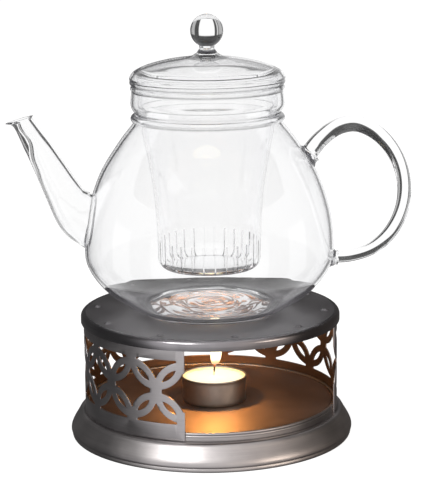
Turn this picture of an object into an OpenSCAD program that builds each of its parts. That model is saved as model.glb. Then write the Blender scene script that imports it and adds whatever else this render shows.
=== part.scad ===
// Glass teapot on a tea-light warmer.
// A blown glass pot with its own glass infuser and lid stands on a round
// steel warmer. The warmer's open-work wall leaves a gap at the front, where
// the tea light goes in. Millimetres, +Z up. The origin is the centre of the
// warmer's underside; the spout points to -X and the handle to +X.

/* [Warmer] */
// Outer radius of the foot where it meets the table
foot_r = 81.5; // [81:0.5:88]
// Height of the foot's upper lip
foot_h = 15; // [14:0.1:18]
// Outer radius of the open-work wall
wall_r = 73; // [71:0.5:74]
// Thickness of the pressed steel sheet
sheet_t = 0.8; // [0.6:0.1:1]
// Height of the top plate's upper face
plate_z = 72.3; // [72:0.1:78]
// Height of the plate's turned-down edge
plate_edge_h = 5.8; // [5:0.2:7]
// Radius of the heat hole in the plate
heat_hole_r = 35; // [28:0.5:36]
// Number of raised pips round the plate
pips = 10; // [6:1:12]

/* [Open-work wall] */
// Number of four-petalled flowers
flowers = 11; // [10:1:12]
// Angle of the front gap, in degrees
gap_angle = 87.2; // [80:0.5:100]
// Direction of the gap's left side, in degrees from straight ahead
gap_left = -12.1; // [-30:0.5:0]
// Width of one petal across its middle
petal_w = 10.4; // [9.8:0.2:10.8]
// Length of the slot in each petal
slot_l = 10.6; // [8:0.2:12]
// Width of the slot in each petal
slot_w = 2.8; // [2:0.1:3.2]

/* [Tea light] */
// Radius of the tea light's cup
cup_r = 19; // [18:0.5:20]
// Height of the cup
cup_h = 15; // [13:0.5:17]
// Sideways place of the tea light in its recess
cup_x = 1.8; // [0:0.1:2]

/* [Pot] */
// Radius of the belly
belly_r = 71.1; // [70:0.5:74]
// Height of the pot, from its base to the top of its rim
pot_h = 113.2; // [110:0.5:118]
// Radius of the flat base
base_r = 38.5; // [37:0.5:42]
// Thickness of the glass wall
glass_t = 2; // [1.8:0.1:2.4]
// Radius of the rolled rim's centre line
rim_r = 41.5; // [41:0.1:42]

/* [Infuser and lid] */
// Radius of the basket near its bottom
basket_r = 29.4; // [27:0.2:31]
// Depth of the basket below the pot's rim
basket_depth = 88.6; // [80:0.5:95]
// Number of slits round the basket
slits = 28; // [16:1:32]
// Width of one slit
slit_w = 0.8; // [0.6:0.1:1.2]
// Radius of the knob
knob_r = 9.35; // [7:0.1:11]

/* [Hidden] */
$fn = 96;

steel = "dimgray";
clear = "lightcyan";
eps = 0.01;

// Warmer
ledge_z = foot_h - 0.3;           // the wall, collar and tray stand on this ledge
ledge_in = wall_r - 9;
tray_r = wall_r - 2.6;
tray_z = ledge_z + 4.7;
recess_r = cup_r + 3;
recess_z = ledge_z + 3.1;
collar_h = 5.3;
plate_r = wall_r + 1.5;
plate_bend = 2.6;
pip_r = 2.3;
pip_h = 1;
pip_ring_r = plate_r - 8.5;

// Open-work wall, laid out flat round each flower's centre
flower_z = (ledge_z + plate_z - 1.8) / 2;
cell_a = (360 - gap_angle) / flowers;
cell_w = wall_r * cell_a * PI / 180;
band_h = 9.9;                    // plain band above and below the openings
open_z = flower_z - ledge_z - band_h;
ring_r = (norm([cell_w / 2, open_z]) + petal_w) / 2;
tip_w = 3.6;                      // metal kept beside each point where petals meet
wall_top = plate_z - 1.4;
end_tab = 0.7;

// Tea light
cup_t = 0.4;
wick_r = 0.6;
clip_r = 1.05;
clip_h = 3.5;
wax_top = recess_z + cup_h - 1;

// Pot
base_t = 3;
rim_t = 2.1;
rim_z = plate_z + pot_h - rim_t;
neck_r = rim_r + 0.2;

// Infuser, measured from the pot's rim
infuser_t = 1.6;
basket_top = rim_z - 0.9;
basket_z = rim_z + rim_t - basket_depth;
collar_z = rim_z + 15.5;
bead_t = 1.5;

// Lid
lid_gap = 0.3;
lid_z = collar_z + 2 * bead_t + lid_gap;
lid_t = 1.8;
flange_r = 39.5;
flange_t = 1.6;
flange_h = 19.4;
flange_drop = 12.5;

// ---- curves -------------------------------------------------------------

function mix(a, b, t) = a + (b - a) * t;

// One span of a smooth curve from b to c, with a and d as its neighbours
function span(a, b, c, d, t) =
    0.5 * (2 * b + (c - a) * t + (2 * a - 5 * b + 4 * c - d) * t * t
        + (3 * b - a - 3 * c + d) * t * t * t);

// Smooth curve through the points p, with n steps from each to the next
function smooth(p, n) =
    let (e = len(p) - 1, q = concat([2 * p[0] - p[1]], p, [2 * p[e] - p[e - 1]]))
    concat([for (i = [0:e - 1], j = [0:n - 1]) span(q[i], q[i + 1], q[i + 2], q[i + 3], j / n)],
        [p[e]]);

function arc(c, r, from, to, n) =
    [for (i = [0:n]) c + r * [cos(mix(from, to, i / n)), sin(mix(from, to, i / n))]];

function reversed(p) = [for (i = [len(p) - 1:-1:0]) p[i]];

function direction(p, i) =
    let (d = p[min(i + 1, len(p) - 1)] - p[max(i - 1, 0)]) d / norm(d);

// The line at distance t to the left of the line p
function beside(p, t) =
    [for (i = [0:len(p) - 1]) let (d = direction(p, i)) p[i] + t * [-d[1], d[0]]];

// ---- general shapes -----------------------------------------------------

// A wall of thickness t under the outline p, which runs upwards or inwards
module turned_shell(p, t) {
    inner = [for (q = reversed(beside(p, t))) [max(q[0], 0), q[1]]];
    rotate_extrude() polygon(concat(p, inner));
}

module bead(r, z, t) {
    rotate_extrude() translate([r, z]) circle(t);
}

// Pointed oval with its long axis along X
module lens(l, w) {
    r = (l * l + w * w) / (4 * w);
    intersection() {
        translate([0, r - w / 2]) circle(r);
        translate([0, w / 2 - r]) circle(r);
    }
}

// Ellipse round [x, z] in a plane that leans from level towards +Z by lean
function ring(x, z, lean, a, b, sides) =
    [for (k = [0:sides - 1]) let (f = 360 * k / sides)
        [x + a * cos(f) * cos(lean), b * sin(f), z + a * cos(f) * sin(lean)]];

function side_faces(rows, n, first) =
    [for (i = [0:rows - 2], k = [0:n - 1]) let (m = (k + 1) % n)
        [first + i * n + k, first + (i + 1) * n + k, first + (i + 1) * n + m, first + i * n + m]];

// Solid through a row of rings
module skin(rings) {
    n = len(rings[0]);
    rows = len(rings);
    bottom = [for (k = [0:n - 1]) k];
    top = [for (k = [n - 1:-1:0]) (rows - 1) * n + k];
    polyhedron([for (r = rings) each r], concat([bottom, top], side_faces(rows, n, 0)), 6);
}

// Open tube between a row of outer rings and a row of inner rings
module pipe(outer, inner) {
    n = len(outer[0]);
    rows = len(outer);
    q = rows * n;
    e = (rows - 1) * n;
    points = concat([for (r = outer) each r], [for (r = inner) each r]);
    bore = [for (f = side_faces(rows, n, q)) reversed(f)];
    start = [for (k = [0:n - 1]) let (m = (k + 1) % n) [k, m, q + m, q + k]];
    end = [for (k = [0:n - 1]) let (m = (k + 1) % n) [e + m, e + k, q + e + k, q + e + m]];
    polyhedron(points, concat(side_faces(rows, n, 0), bore, start, end), 6);
}

// ---- warmer -------------------------------------------------------------

// Pressed foot: one convex roll above a thin bead, a low lip, a ledge inside it and a hem below
module warmer_foot() {
    hem_in = foot_r - 3.5;
    lip_r = wall_r + 0.4;
    bead = [[foot_r - 1.6, 0], [foot_r - 0.7, 0.6], [foot_r - 0.6, 1.6], [foot_r - 0.9, 2.4]];
    roll = smooth([[foot_r - 0.25, 2.9], [foot_r, 3.7], [foot_r - 0.2, 4.9], [foot_r - 0.9, 6.6],
        [foot_r - 1.9, 8.4], [foot_r - 3, 10.2], [lip_r + 4.1, foot_h - 3.1],
        [lip_r + 3.2, foot_h - 1.5], [lip_r + 2.3, foot_h - 0.5], [lip_r + 1.2, foot_h]], 3);
    inside = [[lip_r, foot_h], [lip_r, ledge_z], [ledge_in, ledge_z],
        [ledge_in, ledge_z - sheet_t], [lip_r + 1.8, ledge_z - sheet_t],
        [lip_r + 2.5, foot_h - 1.9], [lip_r + 3.4, foot_h - 3.5], [foot_r - 3.7, 9.8],
        [foot_r - 2.6, 8], [foot_r - 1.6, 6.2], [foot_r - 0.95, 4.6], [foot_r - 0.9, 3.8],
        [foot_r - 1.2, 3.2], [foot_r - 1.7, 2.5], [foot_r - 1.55, 1.6], [foot_r - 2.1, sheet_t],
        [hem_in, sheet_t], [hem_in, 0]];
    color(steel) rotate_extrude() polygon(concat(bead, roll, inside));
}

// Upturned pan, dished towards a recess that keeps the tea light in the middle
module warmer_tray() {
    corner = 1.2;
    dish_r = recess_r + 8;
    dish_z = tray_z - 1;
    top = [[tray_r, ledge_z], [tray_r, tray_z - corner], [tray_r - corner, tray_z],
        [dish_r, tray_z], [recess_r + 1.4, dish_z], [recess_r, recess_z], [0, recess_z]];
    under = [[0, recess_z - sheet_t], [recess_r + 0.4, recess_z - sheet_t],
        [recess_r + 1.6, dish_z - sheet_t], [dish_r, tray_z - sheet_t],
        [tray_r - corner - 0.2, tray_z - sheet_t],
        [tray_r - sheet_t, tray_z - corner - 0.2], [tray_r - sheet_t, ledge_z]];
    color("sienna") rotate_extrude() polygon(concat(top, under));
}

// Rolled ring round the tray that holds the wall upright
module tray_collar() {
    inner = tray_r + 0.1;
    outer = wall_r - sheet_t;
    mid = (inner + outer) / 2;
    half = (outer - inner) / 2;
    top = ledge_z + collar_h - half;
    color(steel) rotate_extrude()
        polygon(concat([[inner, ledge_z], [outer, ledge_z]], arc([mid, top], half, 0, 180, 8)));
}

// The drawing is a net of interlaced rings: one centred between each two
// flowers, and one on each edge above and below a flower. A petal is what two
// rings share, and an opening is what no ring covers.
module petal_slots() {
    for (sx = [-1, 1], sz = [-1, 1])
        translate([sx * cell_w / 4, sz * open_z / 2])
            rotate(sx * sz * atan2(cell_w / 2, open_z)) lens(slot_l, slot_w);
}

// Opening above a flower's centre, between its two upper petals
module upper_opening() {
    half = cell_w / 2 - tip_w;
    difference() {
        translate([-half, 0]) square([2 * half, open_z]);
        for (s = [-1, 1]) translate([s * cell_w / 2, 0]) circle(ring_r);
    }
}

// Four-pointed opening between two neighbouring flowers
module side_opening() {
    half = cell_w / 2 - tip_w;
    difference() {
        square([2 * half, 1.5 * open_z], center = true);
        for (sx = [-1, 1], sz = [-1, 1]) translate([sx * cell_w / 2, sz * open_z]) circle(ring_r);
    }
}

// Cuts the drawing through the wall, at an angle from straight ahead
module cut_at(a) {
    rotate([0, 0, a - 90]) translate([wall_r - 4, 0, flower_z])
        rotate([90, 0, 90]) linear_extrude(8) children();
}

// Strip of interlaced petals, bent round between the foot and the plate
module lattice_wall() {
    tab = end_tab * 2;
    color(steel) difference() {
        rotate([0, 0, gap_left - 90 + end_tab - (360 - gap_angle + tab)])
            rotate_extrude(angle = 360 - gap_angle + tab)
                translate([wall_r - sheet_t, ledge_z]) square([sheet_t, wall_top - ledge_z]);
        for (k = [0:flowers - 1]) cut_at(gap_left - (k + 0.5) * cell_a) {
            upper_opening();
            mirror([0, 1]) upper_opening();
            petal_slots();
        }
        for (k = [0:flowers]) cut_at(gap_left - k * cell_a) side_opening();
    }
}

// Top plate with a turned-down edge, a heat hole and a ring of raised pips
module top_plate() {
    bend_c = [plate_r - plate_bend, plate_z - plate_bend];
    outer = concat([[plate_r, plate_z - plate_edge_h]], arc(bend_c, plate_bend, 0, 90, 6),
        [[heat_hole_r, plate_z]]);
    inner = concat([[heat_hole_r, plate_z - sheet_t]], arc(bend_c, plate_bend - sheet_t, 90, 0, 6),
        [[plate_r - sheet_t, plate_z - plate_edge_h]]);
    dome_r = (pip_r * pip_r + pip_h * pip_h) / (2 * pip_h);
    color(steel) union() {
        rotate_extrude() polygon(concat(outer, inner));
        for (k = [0:pips - 1]) rotate([0, 0, 11.5 - 90 + k * 360 / pips])
            translate([pip_ring_r, 0, plate_z - sheet_t / 2]) intersection() {
                translate([0, 0, pip_h + sheet_t / 2 - dome_r]) sphere(dome_r);
                cylinder(h = dome_r, r = pip_r + 1);
            }
    }
}

// ---- tea light ----------------------------------------------------------

module tealight_cup() {
    foot = cup_r - 0.6;
    wall = [[foot - 1, 0], [foot, 0.8], [cup_r - 0.3, cup_h - 0.9], [cup_r, cup_h - 0.8],
        [cup_r, cup_h - 0.2], [cup_r - 0.5, cup_h]];
    lining = [[cup_r - 0.7, cup_h - 0.7], [foot - cup_t, 0.9], [foot - 1.2, cup_t], [0, cup_t], [0, 0]];
    color("silver") translate([cup_x, 0, recess_z]) rotate_extrude() polygon(concat(wall, lining));
}

module tealight_wax() {
    low = recess_z + cup_t;
    well_r = clip_r + 0.05;
    color("ivory") translate([cup_x, 0, 0]) rotate_extrude()
        polygon(concat([[well_r, low], [cup_r - 1.9, low], [cup_r - 1.15, low + 0.8],
            [cup_r - 0.85, wax_top]],
            smooth([[cup_r - 2, wax_top - 0.3], [cup_r / 2, wax_top - 0.9], [well_r, wax_top - 1]], 3)));
}

// Steel disc with a short neck that keeps the wick upright
module wick_clip() {
    low = recess_z + cup_t;
    color("gray") translate([cup_x, 0, low]) difference() {
        cylinder(h = clip_h, r = clip_r);
        translate([0, 0, -eps]) cylinder(h = clip_h + 2 * eps, r = wick_r + 0.05);
    }
}

module wick() {
    color("white") translate([cup_x, 0, recess_z + cup_t]) cylinder(h = cup_h + 5.8, r = wick_r);
}

// ---- pot ----------------------------------------------------------------

// Outline of the pot from its base to its neck, as shares of belly and height
function pot_outline() = smooth([
    [base_r, plate_z],
    [0.70 * belly_r, plate_z + 0.053 * pot_h],
    [0.87 * belly_r, plate_z + 0.139 * pot_h],
    [0.978 * belly_r, plate_z + 0.240 * pot_h],
    [belly_r, plate_z + 0.335 * pot_h],
    [0.970 * belly_r, plate_z + 0.510 * pot_h],
    [0.868 * belly_r, plate_z + 0.702 * pot_h],
    [0.712 * belly_r, plate_z + 0.860 * pot_h],
    [neck_r + 0.9, rim_z - 3.4],
    [neck_r + 0.4, rim_z - 0.2]], 5);

// Direction and middle of the spout's root on the belly
root_x = -belly_r + 2.5;
root_z = plate_z + 0.461 * pot_h;
root_lean = 80;

module pot_body() {
    outer = pot_outline();
    inner = beside(outer, glass_t);
    lining = [for (p = reversed(inner)) if (p[1] > plate_z + base_t) p];
    flat_in = heat_hole_r - 1;
    color(clear) difference() {
        rotate_extrude() polygon(concat([[0, plate_z + 1.2], [flat_in - 2, plate_z + 0.8],
            [flat_in, plate_z]], outer, lining,
            [[base_r, plate_z + base_t], [0, plate_z + base_t + 0.6]]));
        translate([root_x + 8, 0, root_z - 2]) rotate([0, -root_lean, 0]) cylinder(h = 20, r = 10.5);
    }
}

module pot_rim() {
    color(clear) bead(rim_r, rim_z, rim_t);
}

// Rings of the spout from its root to its poured lip: place, lean, half sizes
function spout_stations() = [
    [root_x, root_z, root_lean, 15.6, 13.8],
    [-belly_r - 3.8, plate_z + 56.4, 65, 14.1, 12.9],
    [-belly_r - 7.8, plate_z + 60.9, 53, 12.4, 11.8],
    [-belly_r - 12.3, plate_z + 69.7, 38, 10.4, 10.3],
    [-belly_r - 19.8, plate_z + 84.7, 28, 8.5, 8.4],
    [-belly_r - 26.8, plate_z + 97.9, 28, 7.2, 7.0],
    [-belly_r - 33.1, plate_z + 108.9, 22, 5.9, 5.9],
    [-belly_r - 35.4, plate_z + 110.9, 16, 8.2, 5.8]];

module spout() {
    wall = 1.7;
    rows = smooth(spout_stations(), 3);
    outer = [for (s = rows) ring(s[0], s[1], s[2], s[3], s[4], 24)];
    inner = [for (s = rows) ring(s[0], s[1], s[2], s[3] - wall, s[4] - wall, 24)];
    color(clear) pipe(outer, inner);
}

// Thick fused ring where the spout meets the belly
module spout_weld() {
    color(clear) translate([root_x - 0.9, 0, root_z]) rotate([0, -root_lean, 0]) bead(14.6, 0, 1.6);
}

// Centre line and radius of the solid glass handle, from its upper end down
function handle_path() = smooth([
    [belly_r - 15.3, plate_z + 88.0, 5.0],
    [belly_r - 8.1, plate_z + 97.0, 4.75],
    [belly_r + 1.5, plate_z + 104.3, 4.65],
    [belly_r + 12.2, plate_z + 106.4, 4.6],
    [belly_r + 22.6, plate_z + 102.3, 4.45],
    [belly_r + 31.2, plate_z + 94.2, 4.2],
    [belly_r + 37.2, plate_z + 83.7, 4.05],
    [belly_r + 40.0, plate_z + 72.4, 3.95],
    [belly_r + 39.7, plate_z + 60.9, 3.95],
    [belly_r + 36.3, plate_z + 50.0, 4.0],
    [belly_r + 30.0, plate_z + 40.6, 3.9],
    [belly_r + 20.8, plate_z + 33.6, 3.6],
    [belly_r + 9.6, plate_z + 30.1, 3.45],
    [belly_r - 1.9, plate_z + 29.5, 3.6]], 4);

module handle() {
    path = handle_path();
    rings = [for (i = [0:len(path) - 1]) let (p = path[i], d = direction(path, i))
        ring(p[0], p[1], atan2(-d[0], d[1]), p[2], p[2], 16)];
    color(clear) skin(rings);
}

// Fused foot of a glass rod, spread over the belly
module rod_weld(x, z, tilt, rod, pad, h) {
    flare = smooth([[pad, 0], [pad - 0.4, 0.2 * h], [mix(rod, pad, 0.3), 0.55 * h], [rod + 0.1, h]], 4);
    color(clear) translate([x, 0, z]) rotate([0, 90 - tilt, 0])
        rotate_extrude() polygon(concat([[0, 0]], flare, [[0, h]]));
}

module handle_upper_weld() {
    rod_weld(belly_r - 15.4, plate_z + 87.6, 33, 4.9, 7.2, 5);
}

module handle_lower_weld() {
    rod_weld(belly_r - 2.2, plate_z + 29.5, -8, 3.6, 5.8, 5);
}

// ---- infuser ------------------------------------------------------------

// Tapered glass basket, closed below, with slits cut round its lower end
module infuser_basket() {
    corner = 6;
    side = smooth([[basket_r - 0.1, basket_z + corner + 2], [basket_r + 0.6, basket_z + 27],
        [basket_r + 2.3, basket_z + 47], [basket_r + 5.3, basket_z + 65],
        [basket_r + 7.9, basket_z + 79], [basket_r + 8.2, basket_top]], 4);
    bottom = arc([basket_r - corner, basket_z + corner], corner, -90, -6, 7);
    outline = concat([[0, basket_z]], bottom, side);
    slit_h = 18;
    color(clear) difference() {
        turned_shell(outline, infuser_t);
        for (k = [0:slits - 1]) rotate([0, 0, (k + 0.5) * 360 / slits])
            translate([basket_r - 5, -slit_w / 2, basket_z - 1]) cube([8, slit_w, slit_h]);
    }
}

// Bulged collar that rests in the pot's mouth
module infuser_collar() {
    outline = smooth([[basket_r + 8.2, basket_top], [rim_r - 1.9, rim_z + 1.6],
        [rim_r + 0.1, rim_z + 3.7], [rim_r + 1.8, rim_z + 7], [rim_r + 1.8, rim_z + 11],
        [rim_r + 1.4, rim_z + 13.5], [rim_r + 1.1, collar_z]], 4);
    color(clear) turned_shell(outline, infuser_t);
}

module infuser_rim() {
    color(clear) bead(rim_r + 0.5, collar_z + bead_t, bead_t);
}

// ---- lid ----------------------------------------------------------------

// Low dome, from its edge to its middle
function lid_outline() = smooth([
    [rim_r + 2.1, lid_z + 2.1], [rim_r + 2.3, lid_z + 4.3], [rim_r, lid_z + 7.4],
    [rim_r - 6.8, lid_z + 10.6], [rim_r - 18, lid_z + 13.5], [12, lid_z + 15.2],
    [0, lid_z + 15.9]], 4);

module lid_dome() {
    color(clear) turned_shell(lid_outline(), lid_t);
}

module lid_rim() {
    color(clear) bead(rim_r + 0.9, lid_z + bead_t, bead_t);
}

// Sleeve under the dome that keeps the lid centred in the collar
module lid_flange() {
    color(clear) translate([0, 0, lid_z - flange_drop]) difference() {
        cylinder(h = flange_h, r = flange_r);
        translate([0, 0, -eps]) cylinder(h = flange_h + 2 * eps, r = flange_r - flange_t);
    }
}

module knob_neck() {
    top = lid_z + 21.8;
    flare = smooth([[8.9, lid_z + 15.0], [6.2, lid_z + 17.1], [4.9, lid_z + 18.9],
        [4.3, lid_z + 20.3], [4.4, top]], 4);
    color(clear) rotate_extrude() polygon(concat([[0, lid_z + 15.0]], flare, [[0, top]]));
}

module knob_ball() {
    color(clear) translate([0, 0, lid_z + 20.7 + knob_r]) sphere(knob_r);
}

warmer_foot();
warmer_tray();
tray_collar();
lattice_wall();
top_plate();
tealight_cup();
tealight_wax();
wick_clip();
wick();
pot_body();
pot_rim();
spout();
spout_weld();
handle();
handle_upper_weld();
handle_lower_weld();
infuser_basket();
infuser_collar();
infuser_rim();
lid_dome();
lid_rim();
lid_flange();
knob_neck();
knob_ball();
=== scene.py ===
from math import atan2, cos, degrees, hypot, pi, radians, sin, sqrt

import bmesh
import bpy
from mathutils import Matrix, Vector, noise


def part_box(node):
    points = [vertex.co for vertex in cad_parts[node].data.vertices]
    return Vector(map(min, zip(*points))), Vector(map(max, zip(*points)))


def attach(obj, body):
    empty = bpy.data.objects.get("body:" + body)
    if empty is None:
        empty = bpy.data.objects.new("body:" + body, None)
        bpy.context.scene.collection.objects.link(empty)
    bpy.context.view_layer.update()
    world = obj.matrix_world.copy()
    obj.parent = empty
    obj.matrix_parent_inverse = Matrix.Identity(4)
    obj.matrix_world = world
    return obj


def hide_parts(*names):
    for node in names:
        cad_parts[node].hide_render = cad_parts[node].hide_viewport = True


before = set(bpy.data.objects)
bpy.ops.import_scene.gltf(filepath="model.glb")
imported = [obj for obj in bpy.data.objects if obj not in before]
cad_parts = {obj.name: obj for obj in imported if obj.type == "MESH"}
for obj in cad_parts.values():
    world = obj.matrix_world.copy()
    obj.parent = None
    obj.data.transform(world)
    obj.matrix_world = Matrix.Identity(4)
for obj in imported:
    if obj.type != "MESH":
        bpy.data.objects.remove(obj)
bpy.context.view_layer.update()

MM = 0.001      # the model's sizes below are in millimetres
TURN = 240      # steps round a turned piece, unless it asks for others
WELD = 1e-7     # metres: points nearer than this become one
GLASSWARE = ("pot_glass", "infuser_glass", "lid_glass")


# ---- sizes: measured on the CAD frame, or the CAD's own numbers --------------

def low(node):
    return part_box(node)[0] / MM


def high(node):
    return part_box(node)[1] / MM


foot_r = high("warmer_foot").x
foot_h = high("warmer_foot").z
wall_r = -low("lattice_wall").x
ledge_z = low("lattice_wall").z
wall_top = high("lattice_wall").z
sheet_t = 0.8
tray_r = high("warmer_tray").x
tray_z = high("warmer_tray").z
collar_top = high("tray_collar").z
plate_r = high("top_plate").x
plate_z = low("pot_body").z
plate_low = low("top_plate").z
heat_hole_r = 35
pips = 10

cup_x = (low("tealight_cup").x + high("tealight_cup").x) / 2
cup_r = high("tealight_cup").y
cup_z = low("tealight_cup").z
cup_top = high("tealight_cup").z
wax_top = high("tealight_wax").z
wick_top = high("wick").z
cup_foot_r = cup_r - 0.7
cup_in_r = cup_r - 0.95

base_r = 38.5
belly_r = high("pot_body").y
glass_t = 2
rim_t = (high("pot_rim").z - low("pot_rim").z) / 2
rim_z = high("pot_rim").z - rim_t
rim_r = high("pot_rim").y - rim_t
pot_h = rim_z + rim_t - plate_z
neck_r = rim_r + 0.2

basket_r = 29.4
basket_z = low("infuser_basket").z
basket_top = high("infuser_basket").z
bead_t = 1.5
bead_z = high("infuser_rim").z - bead_t
lid_z = low("lid_rim").z
flange_r = high("lid_flange").y
flange_low = low("lid_flange").z
knob_r = high("knob_ball").y
knob_z = high("knob_ball").z - knob_r


# ---- curves ----------------------------------------------------------------

def mix(a, b, t):
    return a + (b - a) * t


def smooth(points, n):
    """A smooth curve through the points, with n steps from each to the next."""
    p = [Vector(q) for q in points]
    q = [2 * p[0] - p[1]] + p + [2 * p[-1] - p[-2]]
    out = []
    for i in range(len(p) - 1):
        a, b, c, d = q[i:i + 4]
        for j in range(n):
            t = j / n
            out.append(0.5 * (2 * b + (c - a) * t + (2 * a - 5 * b + 4 * c - d) * t * t
                              + (3 * b - a - 3 * c + d) * t ** 3))
    return out + [p[-1]]


def arc(centre, r, start, end, n):
    """Points of a circle's arc between two angles in degrees."""
    angles = [radians(mix(start, end, i / n)) for i in range(n + 1)]
    return [Vector((centre[0] + r * cos(a), centre[1] + r * sin(a))) for a in angles]


def direction(line, i):
    return (line[min(i + 1, len(line) - 1)] - line[max(i - 1, 0)]).normalized()


def beside(line, t):
    """The line moved by t to its left."""
    out = []
    for i, p in enumerate(line):
        d = direction(line, i)
        out.append(Vector((p[0] - t * d[1], p[1] + t * d[0])))
    return out


def even(line, step):
    """The same line with points added where they lie further than about step apart."""
    out = [line[0]]
    for p, q in zip(line, line[1:]):
        n = max(1, round((q - p).length / step))
        out += [p.lerp(q, (j + 1) / n) for j in range(n)]
    return out


def round_corners(line, r, n=5):
    """The closed line with its sharp corners cut back by r and rounded."""
    out = []
    for i, p in enumerate(line):
        a, b = line[i - 1] - p, line[(i + 1) % len(line)] - p
        if a.angle(b) > radians(150):
            out.append(p)
            continue
        s = p + a.normalized() * min(r, a.length / 2)
        e = p + b.normalized() * min(r, b.length / 2)
        out += [s.lerp(p, t).lerp(p.lerp(e, t), t) for t in (j / n for j in range(n + 1))]
    return out


# ---- meshes ----------------------------------------------------------------

def add_object(name, data):
    obj = bpy.data.objects.new(name, data)
    bpy.context.scene.collection.objects.link(obj)
    return obj


def new_object(name, vertices, faces):
    """A mesh object from points in millimetres, with its normals outwards."""
    mesh = bpy.data.meshes.new(name)
    mesh.from_pydata([tuple(Vector(v) * MM) for v in vertices], [], faces)
    bm = bmesh.new()
    bm.from_mesh(mesh)
    bmesh.ops.remove_doubles(bm, verts=bm.verts, dist=WELD)
    bmesh.ops.recalc_face_normals(bm, faces=bm.faces)
    bm.to_mesh(mesh)
    bm.free()
    return add_object(name, mesh)


def lathe(name, loop, steps=TURN, wave=None):
    """A closed solid: the closed loop of (r, z) points turned round Z."""
    vertices, rows = [], []
    for r, z in loop:
        if r < 1e-4:
            rows.append([len(vertices)] * steps)
            vertices.append((0, 0, z))
            continue
        rows.append(list(range(len(vertices), len(vertices) + steps)))
        for k in range(steps):
            a = 2 * pi * k / steps
            dr, dz = wave(r, z, a) if wave else (0, 0)
            vertices.append(((r + dr) * cos(a), (r + dr) * sin(a), z + dz))
    faces = []
    for i, row in enumerate(rows):
        after = rows[(i + 1) % len(rows)]
        for k in range(steps):
            m = (k + 1) % steps
            face = list(dict.fromkeys((row[k], row[m], after[m], after[k])))
            if len(face) > 2:
                faces.append(face)
    return new_object(name, vertices, faces)


def skin(name, rings):
    """A closed solid through a row of rings, with flat ends."""
    n = len(rings[0])
    vertices = [v for ring in rings for v in ring]
    faces = [[i * n + k, i * n + (k + 1) % n, (i + 1) * n + (k + 1) % n, (i + 1) * n + k]
             for i in range(len(rings) - 1) for k in range(n)]
    faces += [list(range(n))[::-1], [(len(rings) - 1) * n + k for k in range(n)]]
    return new_object(name, vertices, faces)


def ring(x, z, lean, a, b, sides=64):
    """An ellipse round (x, 0, z) whose plane leans from level towards +Z by lean degrees."""
    u = Vector((cos(radians(lean)), 0, sin(radians(lean))))
    centre, v = Vector((x, 0, z)), Vector((0, 1, 0))
    angles = [2 * pi * k / sides for k in range(sides)]
    return [centre + u * (a * cos(f)) + v * (b * sin(f)) for f in angles]


def join(*objs):
    """The first object, with the meshes of the others added to it."""
    bm = bmesh.new()
    for o in objs:
        bm.from_mesh(o.data)
    bm.to_mesh(objs[0].data)
    bm.free()
    for o in objs[1:]:
        bpy.data.objects.remove(o)
    return objs[0]


def evaluated_mesh(obj):
    """A new mesh of the object, with its modifiers or curve settings applied."""
    bpy.context.view_layer.update()
    return bpy.data.meshes.new_from_object(obj.evaluated_get(bpy.context.evaluated_depsgraph_get()))


def combine(obj, other, operation):
    """Unites obj with other, or cuts it by other, and removes other."""
    step = obj.modifiers.new("step", "BOOLEAN")
    step.operation = operation
    step.solver = "MANIFOLD"
    step.object = other
    made = evaluated_mesh(obj)
    obj.modifiers.clear()
    obj.data = made
    bpy.data.objects.remove(other)


def finish_piece(obj, body, material, nodes, sharp=40):
    """Shades the piece, gives it its material and body, and replaces its CAD nodes."""
    for polygon in obj.data.polygons:
        polygon.use_smooth = True
    obj.data.set_sharp_from_angle(angle=radians(sharp))
    obj.data.materials.clear()
    obj.data.materials.append(material)
    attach(obj, body)
    if nodes:
        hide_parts(*nodes)


# ---- materials -------------------------------------------------------------

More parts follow.
